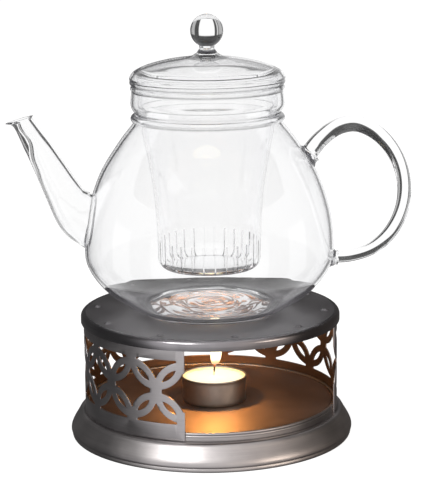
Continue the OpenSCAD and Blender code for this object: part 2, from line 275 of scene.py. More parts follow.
class Nodes:
    """Short names for building a node tree."""

    def __init__(self, tree):
        self.tree = tree
        self.tree.nodes.clear()

    def add(self, kind, inputs=None, **settings):
        made = self.tree.nodes.new(kind)
        for key, value in settings.items():
            setattr(made, key, value)
        for key, value in (inputs or {}).items():
            socket = made.inputs[key]
            if isinstance(value, bpy.types.NodeSocket):
                self.tree.links.new(value, socket)
            else:
                socket.default_value = value
        return made

    def math(self, operation, a, b=0.0):
        return self.add("ShaderNodeMath", {0: a, 1: b}, operation=operation).outputs[0]

    def plus(self, a, b):
        return self.math("ADD", a, b)

    def times(self, a, b):
        return self.math("MULTIPLY", a, b)

    def radius(self, x, y):
        return self.math("SQRT", self.plus(self.times(x, x), self.times(y, y)))

    def place(self):
        """Where the point is in the piece's own coordinates, in metres."""
        return self.add("ShaderNodeTexCoord").outputs["Object"]

    def noise(self, vector, scale, detail=2.0, w=None):
        inputs = {"Vector": vector, "Scale": scale, "Detail": detail}
        dims = "3D"
        if w is not None:
            inputs["W"] = w
            dims = "4D"
        return self.add("ShaderNodeTexNoise", inputs, noise_dimensions=dims).outputs["Fac"]

    def ramp(self, factor, stops):
        made = self.add("ShaderNodeValToRGB", {"Fac": factor})
        elements = made.color_ramp.elements
        while len(elements) < len(stops):
            elements.new(0.5)
        for element, (place, colour) in zip(elements, stops):
            element.position = place
            element.color = (*colour, 1.0) if len(colour) == 3 else colour
        return made.outputs["Color"]

    def span(self, value, from_low, from_high, to_low=0.0, to_high=1.0, soft=False):
        kind = "SMOOTHSTEP" if soft else "LINEAR"
        inputs = {"Value": value, "From Min": from_low, "From Max": from_high,
                  "To Min": to_low, "To Max": to_high}
        return self.add("ShaderNodeMapRange", inputs, interpolation_type=kind).outputs["Result"]

    def step(self, value, at, width, falling=False):
        """Rises from 0 to 1 at the angle, or falls, over width degrees on each side of it."""
        ends = (1.0, 0.0) if falling else (0.0, 1.0)
        return self.span(value, radians(at - width), radians(at + width), *ends, soft=True)

    def bump(self, height, strength, distance):
        inputs = {"Height": height, "Strength": strength, "Distance": distance}
        return self.add("ShaderNodeBump", inputs).outputs["Normal"]

    def mix_colour(self, factor, a, b):
        return self.add("ShaderNodeMix", {0: factor, 6: a, 7: b}, data_type="RGBA").outputs[2]

    def mix_value(self, factor, a, b):
        return self.add("ShaderNodeMix", {0: factor, 2: a, 3: b}, data_type="FLOAT").outputs[0]

    def surface(self, shader):
        self.add("ShaderNodeOutputMaterial", {"Surface": shader})

    def principled(self, inputs):
        self.surface(self.add("ShaderNodeBsdfPrincipled", inputs).outputs[0])


def new_material(name):
    material = bpy.data.materials.new(name)
    material.use_nodes = True
    return material, Nodes(material.node_tree)


def brushed_steel(name, dark, light, rough, streak=1.0, anisotropic=0.5, polished=None, inner=None):
    """Gunmetal steel, brushed round the turning axis, with faint cloudy patches.

    polished is (radius, roughness): beyond that radius the steel is rubbed smooth.
    inner is (radius, tint): within that radius the steel has this tint instead, a painted glow that stands
    in for the flame's warm light on the inside faces.
    """
    material, n = new_material(name)
    place = n.place()
    x, y, z = n.add("ShaderNodeSeparateXYZ", {"Vector": place}).outputs
    radius = n.radius(x, y)
    flat = n.add("ShaderNodeCombineXYZ", {"X": n.math("DIVIDE", x, radius),
                                          "Y": n.math("DIVIDE", y, radius),
                                          "Z": n.times(z, 900.0)}).outputs[0]
    lines = n.noise(flat, 3.0, 3.0, w=n.times(radius, 2200.0))
    clouds = n.noise(place, 55.0, 3.0)
    grain = n.noise(place, 1800.0, 1.0)
    shade = n.plus(n.times(lines, 0.4), n.times(clouds, 0.6))
    colour = n.ramp(shade, [(0.3, dark), (0.7, light)])
    roughness = n.plus(n.span(lines, 0.2, 0.8, rough - 0.04, rough + 0.04),
                       n.span(clouds, 0.3, 0.7, -0.02, 0.03))
    # painted light: the faces inside the radius take a warm tint for the flame's glow on them
    if inner:
        at, tint = inner
        tinted = n.ramp(shade, [(0.3, tuple(c * 0.8 for c in tint)), (0.7, tint)])
        colour = n.mix_colour(n.span(radius, (at - 0.1) * MM, (at + 0.1) * MM), tinted, colour)
    if polished:
        at, smooth_rough = polished
        bare = n.span(radius, (at - 1.5) * MM, (at + 0.5) * MM, soft=True)
        rubbed = n.span(lines, 0.2, 0.8, smooth_rough - 0.03, smooth_rough + 0.03)
        roughness = n.mix_value(bare, roughness, rubbed)
    relief = n.plus(n.times(lines, 0.7), n.times(grain, 0.3))
    n.principled({
        "Base Color": colour, "Metallic": 1.0, "Roughness": roughness,
        "Anisotropic": anisotropic,
        "Tangent": n.add("ShaderNodeTangent", direction_type="RADIAL", axis="Z").outputs[0],
        "Normal": n.bump(relief, 0.12 * streak, 0.0002)})
    return material


def foil():
    """Thin drawn aluminium with fine vertical creases."""
    material, n = new_material("tealight_foil")
    place = n.place()
    stretched = n.add("ShaderNodeMapping", {"Vector": place, "Scale": (1.0, 1.0, 0.06)}).outputs[0]
    creases = n.noise(stretched, 420.0, 3.0)
    clouds = n.noise(place, 120.0, 2.0)
    colour = n.ramp(clouds, [(0.3, (0.42, 0.37, 0.33)), (0.7, (0.52, 0.46, 0.41))])
    n.principled({
        "Base Color": colour, "Metallic": 1.0,
        "Roughness": n.span(creases, 0.3, 0.7, 0.38, 0.42),
        "Normal": n.bump(creases, 0.015, 0.0003)})
    return material


def melted_wax(rim):
    """Molten wax that glows with painted light in place of the flame's: nearly white, yellow towards the
    cup's rim.
    """
    material, n = new_material("candle_wax")
    place = n.place()
    parts = n.add("ShaderNodeSeparateXYZ", {"Vector": place})
    x = n.math("SUBTRACT", parts.outputs["X"], cup_x * MM)
    y = parts.outputs["Y"]
    radius = n.radius(x, y)
    uneven = n.plus(radius, n.span(n.noise(place, 260.0, 2.0), 0.3, 0.7, -0.0008, 0.0008))
    share = n.math("DIVIDE", uneven, rim * MM)
    # painted light: the wax's emission stands in for the flame's light, which is kept off it
    glow = n.ramp(share, [(0.0, (1.0, 0.97, 0.80)), (0.8, (1.0, 0.95, 0.70)),
                          (0.93, (1.0, 0.84, 0.36)), (1.0, (1.0, 0.66, 0.16))])
    n.principled({
        "Base Color": n.ramp(share, [(0.0, (0.98, 0.95, 0.84)), (1.0, (0.95, 0.86, 0.60))]),
        "Roughness": 0.22, "IOR": 1.44, "Subsurface Weight": 0.3,
        "Subsurface Scale": 0.003,
        "Emission Color": glow, "Emission Strength": 0.85,
        "Normal": n.bump(n.noise(place, 300.0, 2.0), 0.1, 0.0004)})
    return material


def burnt_wick(start, end):
    """Cotton braid, charred towards its tip, with a painted glow at its foot and a glowing ember at its tip.
    """
    material, n = new_material("wick_cotton")
    place = n.place()
    z = n.add("ShaderNodeSeparateXYZ", {"Vector": place}).outputs["Z"]
    braid = n.add("ShaderNodeTexWave", {"Vector": place, "Scale": 900.0, "Distortion": 2.0},
                  bands_direction="DIAGONAL").outputs["Fac"]
    height = n.plus(n.span(z, start * MM, end * MM), n.times(braid, 0.12))
    n.principled({
        "Base Color": n.ramp(height, [(0.5, (0.85, 0.70, 0.42)), (0.66, (0.06, 0.035, 0.02)),
                                      (1.0, (0.02, 0.015, 0.012))]),
        "Roughness": 0.9,
        # painted light: the foot of the wick glows for the light falling on it; the tip glows as an ember
        "Emission Color": n.ramp(height, [(0.4, (0.7, 0.5, 0.26)), (0.62, (0.0, 0.0, 0.0)),
                                          (0.9, (0.0, 0.0, 0.0)), (1.0, (1.0, 0.22, 0.03))]),
        "Emission Strength": 1.5,
        "Normal": n.bump(braid, 0.5, 0.0002)})
    return material


def candle_flame(start, end):
    """Glowing gas: orange at the wick and the edges, white-yellow in the middle."""
    material, n = new_material("candle_flame")
    place = n.place()
    z = n.add("ShaderNodeSeparateXYZ", {"Vector": place}).outputs["Z"]
    height = n.plus(n.span(z, start * MM, end * MM),
                    n.span(n.noise(place, 200.0, 1.0), 0.3, 0.7, -0.03, 0.03))
    facing = n.add("ShaderNodeLayerWeight", {"Blend": 0.35}).outputs["Facing"]
    core = n.ramp(height, [(0.0, (0.75, 0.45, 0.35)), (0.09, (1.0, 0.6, 0.25)), (0.2, (1.0, 0.93, 0.7)),
                           (0.65, (1.0, 0.9, 0.6)), (1.0, (1.0, 0.5, 0.12))])
    tinted = n.mix_colour(n.span(facing, 0.35, 0.95), core, (1.0, 0.42, 0.08, 1.0))
    strength = n.ramp(height, [(0.0, (0.45,) * 3), (0.2, (0.9,) * 3), (0.8, (1.0,) * 3), (1.0, (0.5,) * 3)])
    light = n.add("ShaderNodeEmission", {"Color": tinted, "Strength": n.times(strength, 2.4)})
    clear = n.add("ShaderNodeBsdfTransparent")
    n.surface(n.add("ShaderNodeMixShader", {0: n.span(facing, 0.55, 1.0, 0.0, 0.9),
                                            1: light.outputs[0], 2: clear.outputs[0]}).outputs[0])
    return material


def clear_glass(name, tint, ripple, edge):
    """Blown borosilicate glass whose edges are darker: partly from the long way a grazing ray goes through
    it, partly painted shade that draws its outline.
    """
    material, n = new_material(name)
    place = n.place()
    slow = n.noise(place, 38.0, 1.0)
    start, end, dark = edge
    # painted shade: the colour darkens towards grazing edges to draw the glass's outline
    facing = n.add("ShaderNodeLayerWeight", {"Blend": 0.5}).outputs["Facing"]
    through = n.plus(facing, n.span(slow, 0.3, 0.7, -0.015, 0.015))
    colour = n.ramp(through, [(0.0, (1.0, 1.0, 1.0)), (start, tint), (end, dark)])
    n.principled({
        "Base Color": colour, "Roughness": 0.0, "IOR": 1.47, "Transmission Weight": 1.0,
        "Sheen Weight": 0.12, "Sheen Roughness": 0.35, "Sheen Tint": (0.86, 0.88, 1.0, 1.0),
        "Normal": n.bump(slow, ripple, 0.0006)})
    return material


# ---- warmer ----------------------------------------------------------------

def make_foot(material):
    """Pressed foot: one convex roll above a thin bead, a low lip, a ledge inside it and a hem."""
    lip_r, ledge_in = wall_r + 0.4, wall_r - 9
    bead = smooth([(foot_r - 1.6, 0), (foot_r - 0.95, 0.25), (foot_r - 0.62, 0.9),
                   (foot_r - 0.6, 1.6), (foot_r - 0.9, 2.4)], 5)
    roll = smooth([(foot_r - 0.25, 2.9), (foot_r - 0.02, 3.7), (foot_r - 0.2, 4.9), (foot_r - 0.9, 6.6),
                   (foot_r - 1.9, 8.4), (foot_r - 3, 10.2), (lip_r + 4.1, foot_h - 3.1),
                   (lip_r + 3.2, foot_h - 1.5), (lip_r + 2.3, foot_h - 0.5),
                   (lip_r + 1.2, foot_h - 0.02)], 7)
    inside = [(lip_r + 0.1, foot_h - 0.02), (lip_r, foot_h - 0.1), (lip_r, ledge_z),
              (ledge_in, ledge_z), (ledge_in, ledge_z - sheet_t), (lip_r + 1.8, ledge_z - sheet_t),
              (lip_r + 2.5, foot_h - 1.9), (lip_r + 3.4, foot_h - 3.5), (foot_r - 3.7, 9.8),
              (foot_r - 2.6, 8), (foot_r - 1.6, 6.2), (foot_r - 0.95, 4.6), (foot_r - 0.9, 3.8),
              (foot_r - 1.2, 3.2), (foot_r - 1.7, 2.5), (foot_r - 1.55, 1.6), (foot_r - 2.1, sheet_t),
              (foot_r - 3.5, sheet_t), (foot_r - 3.5, 0)]
    loop = bead + roll + [Vector(p) for p in inside]
    finish_piece(lathe("foot_shell", loop), "warmer", material,
                 ["warmer_foot"])


def make_tray(material):
    """Upturned pan, dished towards the recess that holds the tea light."""
    recess_r, bend = cup_r + 3, 1.2
    dish_r = recess_r + 8
    side = [(tray_r, ledge_z), (tray_r, tray_z - bend)]
    side += arc((tray_r - bend, tray_z - bend), bend, 0, 90, 5)
    dish = smooth([(dish_r + 1.5, tray_z), (dish_r - 0.5, tray_z - 0.12), (recess_r + 3.4, tray_z - 0.75),
                   (recess_r + 1.2, tray_z - 1.15), (recess_r - 0.4, cup_z + 0.04),
                   (recess_r - 1.6, cup_z)], 5)
    under = [(0, cup_z), (0, cup_z - sheet_t), (recess_r + 0.4, cup_z - sheet_t),
             (recess_r + 1.6, tray_z - 1 - sheet_t), (dish_r, tray_z - sheet_t),
             (tray_r - 1.4, tray_z - sheet_t), (tray_r - sheet_t, tray_z - 1.4),
             (tray_r - sheet_t, ledge_z)]
    loop = even([Vector(p) for p in side + dish + under], 3)
    finish_piece(lathe("tray_pan", loop), "warmer", material, ["warmer_tray"])


def make_collar(material):
    """Ring round the tray, with a round top and a bead below it on the outside."""
    inner, outer = tray_r + 0.1, wall_r - sheet_t
    mid, half = (inner + outer) / 2, (outer - inner) / 2
    loop = ([Vector((inner, ledge_z)), Vector((outer, ledge_z)), Vector((outer, collar_top - 2.6))]
            + arc((mid + 0.1, collar_top - 2.3), half - 0.1, -60, 60, 5)
            + arc((mid, collar_top - half), half, -20, 180, 12))
    finish_piece(lathe("tray_ring", loop), "warmer", material, ["tray_collar"])


def pip_caps():
    """Low domes in a ring on the top plate, the first a little to the right of the front."""
    pip_r, pip_h, ring_radius, first = 2.3, 1.0, plate_r - 8.5, 11.5
    caps = []
    for k in range(pips):
        profile = [Vector((0, -0.3)), Vector((pip_r + 0.5, -0.3)), Vector((pip_r + 0.5, 0.01))]
        profile += smooth([(pip_r, 0.08), (pip_r * 0.75, pip_h * 0.45), (pip_r * 0.45, pip_h * 0.88),
                           (0, pip_h)], 4)
        cap = lathe("pip", profile, 32)
        a = radians(first - 90 + 360 * k / pips)
        place = Vector((ring_radius * cos(a), ring_radius * sin(a), plate_z)) * MM
        cap.data.transform(Matrix.Translation(place))
        caps.append(cap)
    return caps


def make_plate(material):
    """Top plate: turned-down edge, heat hole with a soft lip, and raised pips."""
    bend, flat_r, lip = 2.6, plate_r - 10, 0.6
    centre = (plate_r - bend, plate_z - bend)
    loop = ([Vector((plate_r - 0.15, plate_low)), Vector((plate_r, plate_low + 0.3))]
            + arc(centre, bend, 0, 90, 10)
            + [Vector((flat_r, plate_z)), Vector((heat_hole_r + 2 * lip, plate_z))]
            + arc((heat_hole_r + lip, plate_z - lip), lip, 90, 180, 4)
            + [Vector((heat_hole_r, plate_z - sheet_t)), Vector((flat_r, plate_z - sheet_t))]
            + arc(centre, bend - sheet_t, 90, 0, 8) + [Vector((plate_r - sheet_t, plate_low))])
    plate = lathe("plate_disc", even(loop, 4))
    finish_piece(join(plate, *pip_caps()), "warmer", material, ["top_plate"], 55)


def wall_openings():
    """Openings of the wall, drawn flat in mm as closed lines of (along, up).

    Returns them, then the outline of the opening that the strip's ends cut in half, and
    where along the line the strip's right and left ends are.
    """
    flowers, gap_angle, gap_left = 11, 87.2, -12.1
    petal_w, slot_l, slot_w, band = 10.4, 10.6, 2.8, 9.9
    cell_a = (360 - gap_angle) / flowers
    cell = radians(cell_a) * wall_r
    mid_z = (ledge_z + plate_z - 1.8) / 2
    reach = mid_z - ledge_z - band
    ring_radius = (hypot(cell / 2, reach) + petal_w) / 2
    flat = cell / 2 - 3.6

    def petal_edge(x):
        return sqrt(ring_radius ** 2 - (cell / 2 - x) ** 2)

    def upper(sign):
        side = []
        for j in range(13):
            x = flat * j / 12
            side.append(Vector((x, petal_edge(x))))
        line = side + [Vector((flat, reach)), Vector((-flat, reach))]
        line += [Vector((-p.x, p.y)) for p in reversed(side[1:])]
        return round_corners([Vector((p.x, sign * p.y)) for p in line], 1.0)

    def between():
        quarter = []
        for j in range(15):
            x = flat * j / 14
            quarter.append(Vector((x, reach - petal_edge(x))))
        right = quarter + [Vector((p.x, -p.y)) for p in reversed(quarter)]
        left = [Vector((-p.x, -p.y)) for p in quarter[1:]]
        left += [Vector((-p.x, p.y)) for p in reversed(quarter[1:])]
        return round_corners(right + left, 0.7)

    def slot():
        r = (slot_l ** 2 + slot_w ** 2) / (4 * slot_w)
        half = atan2(slot_l / 2, r - slot_w / 2)
        top = [Vector((r * sin(a), r * cos(a) - r + slot_w / 2)) for a in
               (mix(-half, half, j / 12) for j in range(13))]
        return round_corners(top + [Vector((p.x, -p.y)) for p in reversed(top[1:-1])], 0.6)

    def moved(line, dx, dy, turn=0.0):
        c, s = cos(turn), sin(turn)
        return [Vector((dx + p.x * c - p.y * s, dy + p.x * s + p.y * c)) for p in line]

    right_end = radians(gap_left) * wall_r
    outlines = []
    tilt = atan2(cell / 2, reach)
    for k in range(flowers):
        x = right_end - (k + 0.5) * cell
        outlines += [moved(upper(1), x, mid_z), moved(upper(-1), x, mid_z)]
        for sx in (-1, 1):
            for sz in (-1, 1):
                outlines.append(moved(slot(), x + sx * cell / 4, mid_z + sz * reach / 2, sx * sz * tilt))
    for k in range(1, flowers):
        outlines.append(moved(between(), right_end - k * cell, mid_z))
    return outlines, moved(between(), 0, mid_z), right_end, right_end - flowers * cell


def strip_border(notch, right, left):
    """Outline of the flattened wall, with half an opening cut into each of its ends."""
    tab = 0.9
    half = sorted((p for p in notch if p.x <= 0), key=lambda p: -p.y)
    start = [Vector((right + p.x, p.y)) for p in half]
    end = [Vector((left - p.x, p.y)) for p in reversed(half)]
    far_left, far_right = left - tab, right + tab
    border = [Vector((far_left, ledge_z)), Vector((far_right, ledge_z)), Vector((far_right, start[-1].y))]
    border += reversed(start)
    border += [Vector((far_right, start[0].y)), Vector((far_right, wall_top)),
               Vector((far_left, wall_top)), Vector((far_left, end[-1].y))]
    border += reversed(end)
    return border + [Vector((far_left, end[0].y))]


def flat_sheet(outlines):
    """Mesh of a flat sheet with soft edges: the first outline is its border, the rest are holes."""
    edge = 0.12
    curve = bpy.data.curves.new("strip", "CURVE")
    curve.dimensions = "2D"
    curve.fill_mode = "BOTH"
    curve.extrude = (sheet_t / 2 - edge) * MM
    curve.bevel_depth = edge * MM
    curve.offset = -edge * MM
    curve.bevel_resolution = 1
    for line in outlines:
        spline = curve.splines.new("POLY")
        spline.points.add(len(line) - 1)
        for point, p in zip(spline.points, line):
            point.co = (p.x * MM, p.y * MM, 0, 1)
        spline.use_cyclic_u = True
    flat = add_object("flat_strip", curve)
    mesh = evaluated_mesh(flat)
    bpy.data.objects.remove(flat)
    return mesh


def make_wall(material):
    """Open-work strip: a flat sheet with openings, cut into narrow slats and bent round."""
    outlines, notch, right, left = wall_openings()
    mesh = flat_sheet([strip_border(notch, right, left)] + outlines)
    bm = bmesh.new()
    bm.from_mesh(mesh)
    bmesh.ops.remove_doubles(bm, verts=bm.verts, dist=WELD)
    slat = 1.6
    x = left
    while x < right:
        bmesh.ops.bisect_plane(bm, geom=bm.verts[:] + bm.edges[:] + bm.faces[:], dist=WELD,
                               plane_co=(x * MM, 0, 0), plane_no=(1, 0, 0))
        x += slat
    middle = (wall_r - sheet_t / 2) * MM
    for v in bm.verts:
        angle = v.co.x / (wall_r * MM)
        radius = middle + v.co.z
        v.co = Vector((radius * sin(angle), -radius * cos(angle), v.co.y))
    bmesh.ops.recalc_face_normals(bm, faces=bm.faces)
    bm.to_mesh(mesh)
    bm.free()
    finish_piece(add_object("openwork_strip", mesh), "warmer", material,
                 ["lattice_wall"], 30)


# ---- tea light -------------------------------------------------------------

def shifted(obj):
    """The object moved from the axis to the tea light's place."""
    obj.data.transform(Matrix.Translation((cup_x * MM, 0, 0)))
    return obj


def make_cup():
    """Foil cup with a rolled rim and very shallow dents in its side."""
    roll_r, deepest = 0.45, 0.012
    wall = [(0, cup_z), (cup_foot_r - 1.2, cup_z), (cup_foot_r - 0.4, cup_z + 0.25),
            (cup_foot_r, cup_z + 0.9), (cup_r - 0.35, cup_top - 1.3)]
    roll = arc((cup_r - roll_r, cup_top - roll_r), roll_r, -60, 180, 8)
    lining = [(cup_in_r, cup_top - 0.8), (cup_foot_r - 0.4, cup_z + 0.9),
              (cup_foot_r - 1.2, cup_z + 0.4), (0, cup_z + 0.4)]
    loop = even([Vector(p) for p in wall + roll + lining], 1.5)

    def dents(r, z, a):
        depth = deepest * min(1.0, max(0.0, (cup_top - 1.2 - z) / 3)) * (r > cup_foot_r - 0.6)
        return depth * noise.noise(Vector((3 * cos(a), 3 * sin(a), z * 0.1))), 0

    finish_piece(shifted(lathe("foil_cup", loop, wave=dents)), "tealight",
                 foil(), ["tealight_cup"])


def make_wax():
    """Pool of wax, a little higher at its edges, with a hole for the wick and its clip."""
    well = 1.15
    surface = smooth([(cup_in_r, wax_top + 0.1), (cup_in_r - 0.9, wax_top - 0.35),
                      (cup_in_r - 4, wax_top - 0.55), (cup_in_r / 2, wax_top - 0.6),
                      (well + 1.4, wax_top - 0.5), (well, wax_top + 0.1)], 6)
    under = [(well, cup_z + 0.5), (cup_foot_r - 1.4, cup_z + 0.5), (cup_foot_r - 0.5, cup_z + 1.1)]
    pool = even([Vector(p) for p in under] + surface, 1.5)
    finish_piece(shifted(lathe("wax_pool", pool, 128)), "tealight",
                 melted_wax(cup_in_r), ["tealight_wax"])


def make_wick():
    """Braided wick that leans a little to the right towards its tip."""
    sides = 12
    path = smooth([(0, low("wick").z), (0, wax_top), (0.15, wax_top + 2.5), (0.35, wick_top - 1.2),
                   (0.5, wick_top - 0.1)], 6)
    rings = []
    for i, p in enumerate(path):
        thick = 0.5 if p.y < wax_top else 0.55 + 0.05 * sin(1.9 * i)
        angles = [2 * pi * k / sides + 0.5 * i for k in range(sides)]
        rings.append([Vector((cup_x + p.x + thick * cos(f), thick * sin(f), p.y)) for f in angles])
    finish_piece(skin("braided_wick", rings), "tealight",
                 burnt_wick(wax_top - 2, wick_top), ["wick"])


def make_flame():
    """The flame, leaning to the right; returns the height at which its light is put."""
    start, end = wick_top - 0.4, wick_top + 21
    outline = smooth([(0, start), (1.3, start + 0.3), (2.3, start + 1.3), (2.9, start + 3.2),
                      (3.25, start + 5.8), (3.3, start + 9), (2.9, start + 12.8), (1.8, start + 16.8),
                      (0.7, end - 2.4), (0, end)], 6)
    flame = shifted(lathe("candle_flame", [Vector((max(p.x, 0), p.y)) for p in outline], 48))
    for v in flame.data.vertices:
        lift = (v.co.z / MM - start) / (end - start)
        v.co.x += (0.4 + 1.6 * sqrt(max(lift, 0))) * MM
    finish_piece(flame, "tealight", candle_flame(start, end), [])
    flame.visible_shadow = False
    return mix(start, end, 0.8)


def colour_clip():
    """The clip keeps its CAD shape and only gets a material."""
    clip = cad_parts["wick_clip"]
    clip.data.materials.clear()
    clip.data.materials.append(brushed_steel("clip_steel", (0.45, 0.45, 0.45), (0.6, 0.6, 0.6), 0.35))


# ---- glass -----------------------------------------------------------------

def pot_outline():
    """Outside of the blown body from its base to the neck, as (r, z)."""
    shares = [(0.70, 0.053), (0.87, 0.139), (0.978, 0.240), (1.0, 0.335), (0.970, 0.510), (0.868, 0.702),
              (0.712, 0.860)]
    points = [(base_r, plate_z)] + [(r * belly_r, plate_z + h * pot_h) for r, h in shares]
    return smooth(points + [(neck_r + 0.9, rim_z - 3.4), (neck_r + 0.3, rim_z - 1.6)], 12)


def spout_rings(inset):
    """Rings along the spout, or along its bore when inset from the outside.

    The bore runs on past both ends, and its wall grows thicker in slow waves towards the lip.
    """
    root_x, root_z = -belly_r + 2.5, plate_z + 0.461 * pot_h
    stations = [(root_x, root_z, 80, 15.6, 13.8),
                (-belly_r - 3.8, plate_z + 56.4, 65, 14.1, 12.9),
                (-belly_r - 7.8, plate_z + 60.9, 53, 12.4, 11.8),
                (-belly_r - 12.3, plate_z + 69.7, 38, 10.4, 10.3),
                (-belly_r - 19.8, plate_z + 84.7, 28, 8.5, 8.4),
                (-belly_r - 26.8, plate_z + 97.9, 28, 7.2, 7.0),
                (-belly_r - 33.1, plate_z + 108.9, 22, 5.9, 5.9),
                (-belly_r - 35.4, plate_z + 110.9, 16, 8.2, 5.8)]
    if inset:
        stations = [(root_x + 9, root_z - 1.5, 80, 15.6, 13.8)] + stations
        stations.append((-belly_r - 36.0, plate_z + 113.0, 14, 9.0, 6.4))
    rows = smooth(stations, 8)
    rings = []
    for i, (x, z, lean, a, b) in enumerate(rows):
        thick = inset and 1.1 * max(0.0, min(1.0, (z - plate_z - 80) / 20))
        wavy = inset and 0.35 * thick * sin(0.55 * i)
        rings.append(ring(x + thick + wavy, z, lean, a - inset - thick - wavy, b - inset))
    return rings


def rod_weld(name, x, z, tilt, rod, pad, h):
    """Fused, slightly lumpy foot of the handle, spread over the belly."""
    flare = smooth([(pad, 0), (pad - 0.3, 0.22 * h), (mix(rod, pad, 0.35), 0.55 * h), (rod + 0.2, h)], 6)
    loop = even([Vector((0, 0))] + flare + [Vector((0, h))], 0.5)

    def lumps(r, height, a):
        if r < 1 or height < 0.1:
            return 0, 0
        coarse = noise.noise(Vector((2.2 * cos(a), 2.2 * sin(a), 0.6 * height + z)))
        fine = noise.noise(Vector((5.5 * cos(a), 5.5 * sin(a), 1.6 * height - z)))
        return 0.4 * coarse + 0.3 * fine, 0

    lump = lathe(name, loop, 96, lumps)
    turn = Matrix.Rotation(radians(90 - tilt), 4, "Y")
    lump.data.transform(Matrix.Translation(Vector((x, 0, z)) * MM) @ turn)
    return lump


def handle_rod():
    """Solid rod along the handle's line, wider above its middle than below."""
    stations = [(-15.3, 88.0, 5.0), (-8.1, 97.0, 4.75), (1.5, 104.3, 4.65), (12.2, 106.4, 4.6),
                (22.6, 102.3, 4.45), (31.2, 94.2, 4.2), (37.2, 83.7, 4.05), (40.0, 72.4, 3.95),
                (39.7, 60.9, 3.95), (36.3, 50.0, 4.0), (30.0, 40.6, 3.9), (20.8, 33.6, 3.6),
                (9.6, 30.1, 3.45), (-1.9, 29.5, 3.6)]
    path = smooth([(belly_r + x, plate_z + z, r) for x, z, r in stations], 10)
    rod = []
    for i, p in enumerate(path):
        d = direction(path, i)
        lean = degrees(atan2(-d[0], d[1]))
        rod.append([v + Vector((0, 0.6 * v.y * (v.z - p[1]) / p[2], 0))
                    for v in ring(p[0], p[1], lean, p[2], p[2], 48)])
    return skin("handle_rod", rod)


def make_pot(glass):
    """Body, spout, handle and welds fused into one piece of glass, with the spout bored through."""
    outer = pot_outline()
    inner = beside(outer, glass_t)
    floor_z = plate_z + 3
    lining = [p for p in reversed(inner) if p.y > floor_z + 1.2]
    bead = arc((rim_r, rim_z), rim_t, -48, 228, 24)
    under = [(0, plate_z + 1.3), (heat_hole_r - 6, plate_z + 0.9), (heat_hole_r - 2, plate_z + 0.25),
             (heat_hole_r - 0.6, plate_z), (base_r - 1.5, plate_z)]
    inside = smooth([lining[-1], (base_r - 1, floor_z + 0.35), (base_r - 9, floor_z), (0, floor_z + 0.5)], 6)
    loop = even([Vector(p) for p in under], 2) + outer + bead + lining + even(inside[1:], 1.2)

    def ripples(r, z, a):
        if z > floor_z + 1 or z < plate_z + 2:
            return 0, 0
        fade = min(1, r / 3) * min(1, max(0, base_r - 2 - r) / 5)
        x, y = r * cos(a), r * sin(a)
        swirl = sin(0.75 * r + 2.0 * noise.noise(Vector((x * 0.05, y * 0.05, 1))))
        return 0, fade * (0.09 * swirl + 0.22 * noise.noise(Vector((x * 0.07, y * 0.07, 3))))

    pot = lathe("pot_glass", loop, 288, ripples)

    spout = skin("spout_outer", spout_rings(0))
    handle = handle_rod()
    for part in (spout, handle,
                 rod_weld("upper", belly_r - 15.4, plate_z + 87.6, 33, 4.9, 7.2, 5),
                 rod_weld("lower", belly_r - 2.2, plate_z + 29.5, -8, 3.6, 5.8, 5)):
        combine(pot, part, "UNION")
    combine(pot, skin("spout_bore", spout_rings(1.7)), "DIFFERENCE")
    finish_piece(pot, "pot", glass,
                 ["pot_body", "pot_rim", "spout", "spout_weld", "handle",
                  "handle_upper_weld", "handle_lower_weld"], 50)


def slit_cutters():
    """Thin upright blades round the basket's foot, which cut its slits."""
    slits, slit_w, slit_h = 28, 0.8, 18
    bottom = basket_z - 1
    cutters = []
    for k in range(slits):
        a = 2 * pi * (k + 0.5) / slits
        u, v = Vector((cos(a), sin(a), 0)), Vector((-sin(a), cos(a), 0)) * (slit_w / 2)
        near, far = u * (basket_r - 5), u * (basket_r + 4)
        section = [near - v, far - v, far + v, near + v]
        rings = [[p + Vector((0, 0, z)) for p in section] for z in (bottom, bottom + slit_h)]
        cutters.append(skin("slit", rings))
    return join(*cutters)


def make_infuser(glass):
    """Flat-bottomed basket that widens to a bulged collar with a bead on top."""
    corner, wall = 6, 1.6
    floor_r = basket_r - corner - 1
    side = smooth([(basket_r - 0.1, basket_z + corner + 2), (basket_r + 0.6, basket_z + 27),
                   (basket_r + 2.3, basket_z + 47), (basket_r + 5.3, basket_z + 65),
                   (basket_r + 7.9, basket_z + 79), (basket_r + 8.2, basket_top),
                   (rim_r - 1.9, rim_z + 1.6), (rim_r + 0.1, rim_z + 3.7), (rim_r + 1.8, rim_z + 7),
                   (rim_r + 1.8, rim_z + 11), (rim_r + 1.3, bead_z - 2.0)], 8)
    outer = even(arc((basket_r - corner, basket_z + corner), corner, -90, -6, 10) + side, 1.5)
    inner = [Vector((max(p.x, 0), p.y)) for p in reversed(beside(outer, wall))]
    bead = arc((rim_r + 0.5, bead_z), bead_t, -55, 235, 18)
    loop = even([Vector((0, basket_z)), Vector((floor_r, basket_z))], 3) + outer + bead
    loop += inner + even([Vector((floor_r, basket_z + wall)), Vector((0, basket_z + wall))], 3)
    infuser = lathe("infuser_glass", loop, 288)
    combine(infuser, slit_cutters(), "DIFFERENCE")
    finish_piece(infuser, "infuser", glass,
                 ["infuser_basket", "infuser_collar", "infuser_rim"], 50)


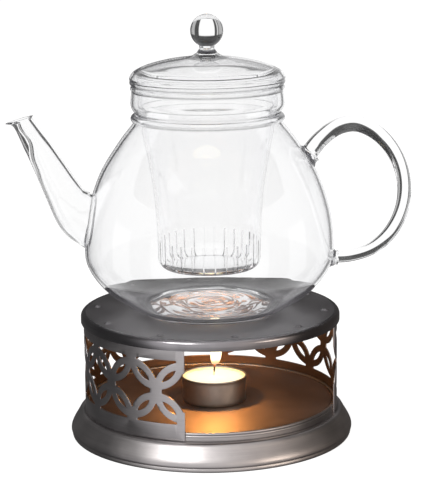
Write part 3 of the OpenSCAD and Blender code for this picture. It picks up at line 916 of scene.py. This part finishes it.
def make_lid(glass):
    """Dome with an edge bead, a sleeve below it and a solid ball on a flared neck."""
    dome_t, sleeve_t = 1.8, 1.6
    join_r, join_z = 12, lid_z + 15.2
    neck_r_top, neck_z = 4.4, lid_z + 21.4
    dome = smooth([(rim_r + 2.1, lid_z + 2.1), (rim_r + 2.3, lid_z + 4.3), (rim_r, lid_z + 7.4),
                   (rim_r - 6.8, lid_z + 10.6), (rim_r - 18, lid_z + 13.5), (join_r, join_z)], 10)
    flare = smooth([(join_r, join_z), (8.9, lid_z + 15.9), (6.4, lid_z + 17.4), (4.9, lid_z + 19.1),
                    (4.3, lid_z + 20.5), (neck_r_top, neck_z)], 6)
    reach = atan2(neck_z - knob_z, neck_r_top) * 180 / pi
    ball = arc((0, knob_z), knob_r, reach, 90, 40)
    underside = [p for p in reversed(beside(dome, dome_t)) if p.x < flange_r - 1.8]
    rim = arc((rim_r + 0.9, lid_z + bead_t), bead_t, -240, 20, 22)
    skirt_in = [p for p in beside(dome, dome_t) if p.x > flange_r + 0.3 and p.y > lid_z + 2.6]
    sleeve_in, sleeve_end = flange_r - sleeve_t, flange_low + sleeve_t / 2
    loop = ([Vector((0, lid_z + 14.1))] + underside
            + [Vector((sleeve_in, lid_z + 6.5)), Vector((sleeve_in, sleeve_end))]
            + arc((flange_r - sleeve_t / 2, sleeve_end), sleeve_t / 2, 180, 360, 8)
            + [Vector((flange_r, lid_z + 6.2))] + skirt_in[::-1] + [Vector((rim_r + 0.2, lid_z + 2.8))])
    loop = even(loop, 2) + rim + dome + flare[1:-1] + ball
    loop = [Vector((max(p.x, 0), p.y)) for p in loop]
    finish_piece(lathe("lid_glass", loop, 288), "lid", glass,
                 ["lid_dome", "lid_rim", "lid_flange", "knob_neck", "knob_ball"], 60)


# ---- camera, floor and light -----------------------------------------------

def make_camera():
    """The photograph's view: a long lens, slightly from above, rolled a little."""
    down, roll = 11.86, -0.7
    camera = bpy.data.cameras.new("camera")
    camera.sensor_width = 36
    camera.lens = 140.6
    camera.shift_x = 0.0119
    camera.clip_start = 0.05
    camera.clip_end = 50
    obj = add_object("camera", camera)
    obj.matrix_world = (Matrix.Translation((0, -1.050, 0.333)) @ Matrix.Rotation(radians(90 - down), 4, "X")
                        @ Matrix.Rotation(radians(roll), 4, "Z"))
    bpy.context.scene.camera = obj


def make_floor():
    """Nearly white floor, which neither the steel's reflections nor the glass show."""
    material, n = new_material("pale_floor")
    place = n.place()
    shade = n.ramp(n.noise(place, 4.0, 2.0), [(0.3, (0.28, 0.28, 0.28)), (0.7, (0.3, 0.3, 0.3))])
    n.principled({
        "Base Color": shade, "Roughness": 0.9, "Specular IOR Level": 0.0,
        "Emission Color": (1.0, 1.0, 1.0, 1.0), "Emission Strength": 0.88})
    bpy.ops.mesh.primitive_circle_add(vertices=96, radius=6, fill_type="NGON", location=(0, 0, 0))
    floor = bpy.context.object
    floor.name = "floor"
    floor.data.materials.append(material)
    floor.visible_glossy = False
    floor.visible_transmission = False


def area_light(name, place, target, size, energy, colour):
    light = bpy.data.lights.new(name, "AREA")
    light.shape = "RECTANGLE"
    light.size, light.size_y = size
    light.energy = energy
    light.color = colour
    obj = add_object(name, light)
    away = Vector(place) - Vector(target)
    obj.matrix_world = Matrix.Translation(place) @ away.to_track_quat("Z", "Y").to_matrix().to_4x4()
    return obj


def around_steel(n, turn, aside, up, overhead):
    """What steel reflects: a broad panel in front, a strip on each side of it, and a softbox."""
    def strip_at(azimuth, half):
        away = n.math("ABSOLUTE", n.math("SUBTRACT", turn, radians(azimuth)))
        return n.step(away, half, half * 0.7, True)

    from_front = n.math("SUBTRACT", pi, aside)
    height = n.plus(n.times(n.step(up, -62, 12), 0.55), n.times(n.step(up, -22, 12), 0.45))
    height = n.times(height, n.step(up, 72, 12, True))
    panels = n.times(n.step(from_front, 50, 30, True), 1.25)
    panels = n.plus(panels, n.times(strip_at(-137, 11), 0.8))
    panels = n.plus(panels, n.times(strip_at(116, 11), 0.7))
    lit = n.plus(n.times(panels, height), n.times(overhead, 0.3))
    return n.plus(lit, 0.09)


def mirrored_by_glass(n, turn, aside, up):
    """White, but round the horizon dark on the left of straight ahead and a little grey aside."""
    left = n.times(n.step(turn, 0, 3, True), n.step(turn, -62, 10))
    wide = n.times(n.step(aside, 80, 30), n.step(aside, 150, 15, True))
    shade = n.plus(n.times(left, 0.85), n.times(wide, 0.1))
    level = n.times(n.step(up, -24, 4), n.step(up, 14, 4, True))
    return n.math("SUBTRACT", 1.0, n.times(shade, level))


def through_walls(n, up, overhead):
    """Seen through blown glass: white to a little above the horizon, grey above, and a softbox."""
    seen = n.math("MAXIMUM", n.step(up, 13, 2, True), n.times(overhead, 0.9))
    return n.plus(n.times(seen, 0.5), 0.52)


def through_solid(n, turn, aside, up):
    """Seen through a rod or ball: dark, with a white floor and a white panel straight ahead.

    White bands stand at every 45 degrees, weaker near the panel, and a strip to its left.
    """
    fold = n.math("PINGPONG", aside, pi / 8)
    weight = n.plus(n.times(n.step(aside, 65, 2), 0.6), 0.4)
    bands = n.times(n.step(fold, 11, 1.5, True), weight)
    panel = n.math("MAXIMUM", n.step(aside, 19, 1.5, True), bands)
    strip = n.times(n.step(turn, -31, 1.5), n.step(turn, -26, 1.5, True))
    panel = n.math("MAXIMUM", panel, n.times(strip, 0.6))
    low_panel = n.times(panel, n.step(up, 7, 2, True))
    return n.plus(n.math("MAXIMUM", low_panel, n.step(up, -38, 5, True)), 0.045)


def make_world():
    """Bright studio with darker parts, which draw the edges of clear glass and shade the steel.

    turn is 0 straight ahead, from the front of the object to its back, and grows to the right;
    aside is the same without its sign, and up is the angle above the horizon.
    """
    world = bpy.data.worlds.new("studio")
    world.use_nodes = True
    bpy.context.scene.world = world
    n = Nodes(world.node_tree)
    ray = n.add("ShaderNodeTexCoord").outputs["Generated"]
    x, y, z = n.add("ShaderNodeSeparateXYZ", {"Vector": ray}).outputs
    turn = n.math("ARCTAN2", x, y)
    aside = n.math("ABSOLUTE", turn)
    up = n.math("ARCSINE", z)
    overhead = n.step(up, 54, 8)
    path = n.add("ShaderNodeLightPath").outputs

    # a ray that has gone through fewer than three faces of glass came through a solid piece
    is_solid = n.math("LESS_THAN", path["Transmission Depth"], 3.0)
    glass = n.mix_value(is_solid, through_walls(n, up, overhead), through_solid(n, turn, aside, up))
    value = n.mix_value(path["Is Singular Ray"], around_steel(n, turn, aside, up, overhead),
                        mirrored_by_glass(n, turn, aside, up))
    value = n.mix_value(path["Is Transmission Ray"], value, glass)
    value = n.mix_value(path["Is Camera Ray"], value, 1.0)
    warmth = n.ramp(n.span(x, 0.0, 0.9), [(0.0, (1.0, 0.985, 0.99)), (1.0, (1.0, 0.87, 0.78))])
    plain = n.math("MAXIMUM", path["Is Camera Ray"],
                   n.math("MAXIMUM", path["Is Singular Ray"], path["Is Transmission Ray"]))
    colour = n.mix_colour(plain, warmth, (1.0, 1.0, 1.0, 1.0))
    back = n.add("ShaderNodeBackground", {"Color": colour, "Strength": value})
    n.add("ShaderNodeOutputWorld", {"Surface": back.outputs[0]})


def except_for(name, pieces):
    """A set of light receivers: everything but the named pieces."""
    receivers = bpy.data.collections.new(name)
    for piece in pieces:
        receivers.objects.link(bpy.data.objects[piece])
    for item in receivers.collection_objects:
        item.light_linking.link_state = "EXCLUDE"
    return receivers


def make_lights(flame_z):
    """Three studio lights and the flame's light; none of them falls on the glass."""
    studio = [area_light("key", (-0.55, -1.0, 0.9), (0, 0, 0.08), (0.5, 0.4), 8, (1.0, 0.99, 0.97)),
              area_light("warm_side", (0.95, -0.75, 0.3), (0, 0, 0.04), (0.4, 0.4), 2.5, (1.0, 0.86, 0.72)),
              area_light("top", (0.1, 0.3, 1.3), (0, 0, 0), (1.2, 1.2), 4, (1.0, 1.0, 1.0))]
    beside_glass = except_for("beside_glass", GLASSWARE)
    for light in studio:
        light.light_linking.receiver_collection = beside_glass
    glow = bpy.data.lights.new("flame_light", "POINT")
    glow.energy = 0.17
    glow.color = (1.0, 0.44, 0.10)
    glow.shadow_soft_size = 0.003
    obj = add_object("flame_light", glow)
    obj.location = (cup_x * MM, 0, flame_z * MM)
    # the wax and the cup are kept out of the flame's light; the wax's glow is painted in its material
    obj.light_linking.receiver_collection = except_for("lit_by_flame", GLASSWARE + ("wax_pool", "foil_cup"))


# ---- assembly --------------------------------------------------------------

bpy.context.scene.view_settings.view_transform = "Standard"
make_camera()
make_floor()
make_world()

# the wall's steel gets a painted flame glow on its inside faces
steel = brushed_steel("warmer_steel", (0.275, 0.262, 0.268), (0.385, 0.368, 0.372), 0.34,
                      inner=(wall_r - sheet_t / 2, (0.25, 0.185, 0.14)))
foot_steel = brushed_steel("foot_steel", (0.275, 0.262, 0.264), (0.385, 0.366, 0.366), 0.33)
# painted light: the tray is the same steel, coloured brown to stand in for the flame's orange glow on it
tray_steel_painted_glow = brushed_steel("tray_steel_painted_glow", (0.178, 0.128, 0.104), (0.258, 0.192, 0.155), 0.5, 0.4, 0.3)
plate_steel = brushed_steel("plate_steel", (0.18, 0.172, 0.182), (0.265, 0.255, 0.265), 0.38, 0.5, 0.2,
                            polished=(plate_r - 2.5, 0.22))
make_foot(foot_steel)
make_tray(tray_steel_painted_glow)
make_collar(foot_steel)
make_wall(steel)
make_plate(plate_steel)
make_cup()
make_wax()
make_wick()
flame_z = make_flame()
colour_clip()

# the last argument sets the painted shade at the glass's edges
thin_glass = clear_glass("thin_glass", (0.99, 0.991, 0.997), 0.006, (0.88, 0.99, (0.74, 0.74, 0.77)))
make_pot(thin_glass)
make_infuser(thin_glass)
make_lid(thin_glass)
for piece in GLASSWARE:
    bpy.data.objects[piece].visible_shadow = False
make_lights(flame_z)
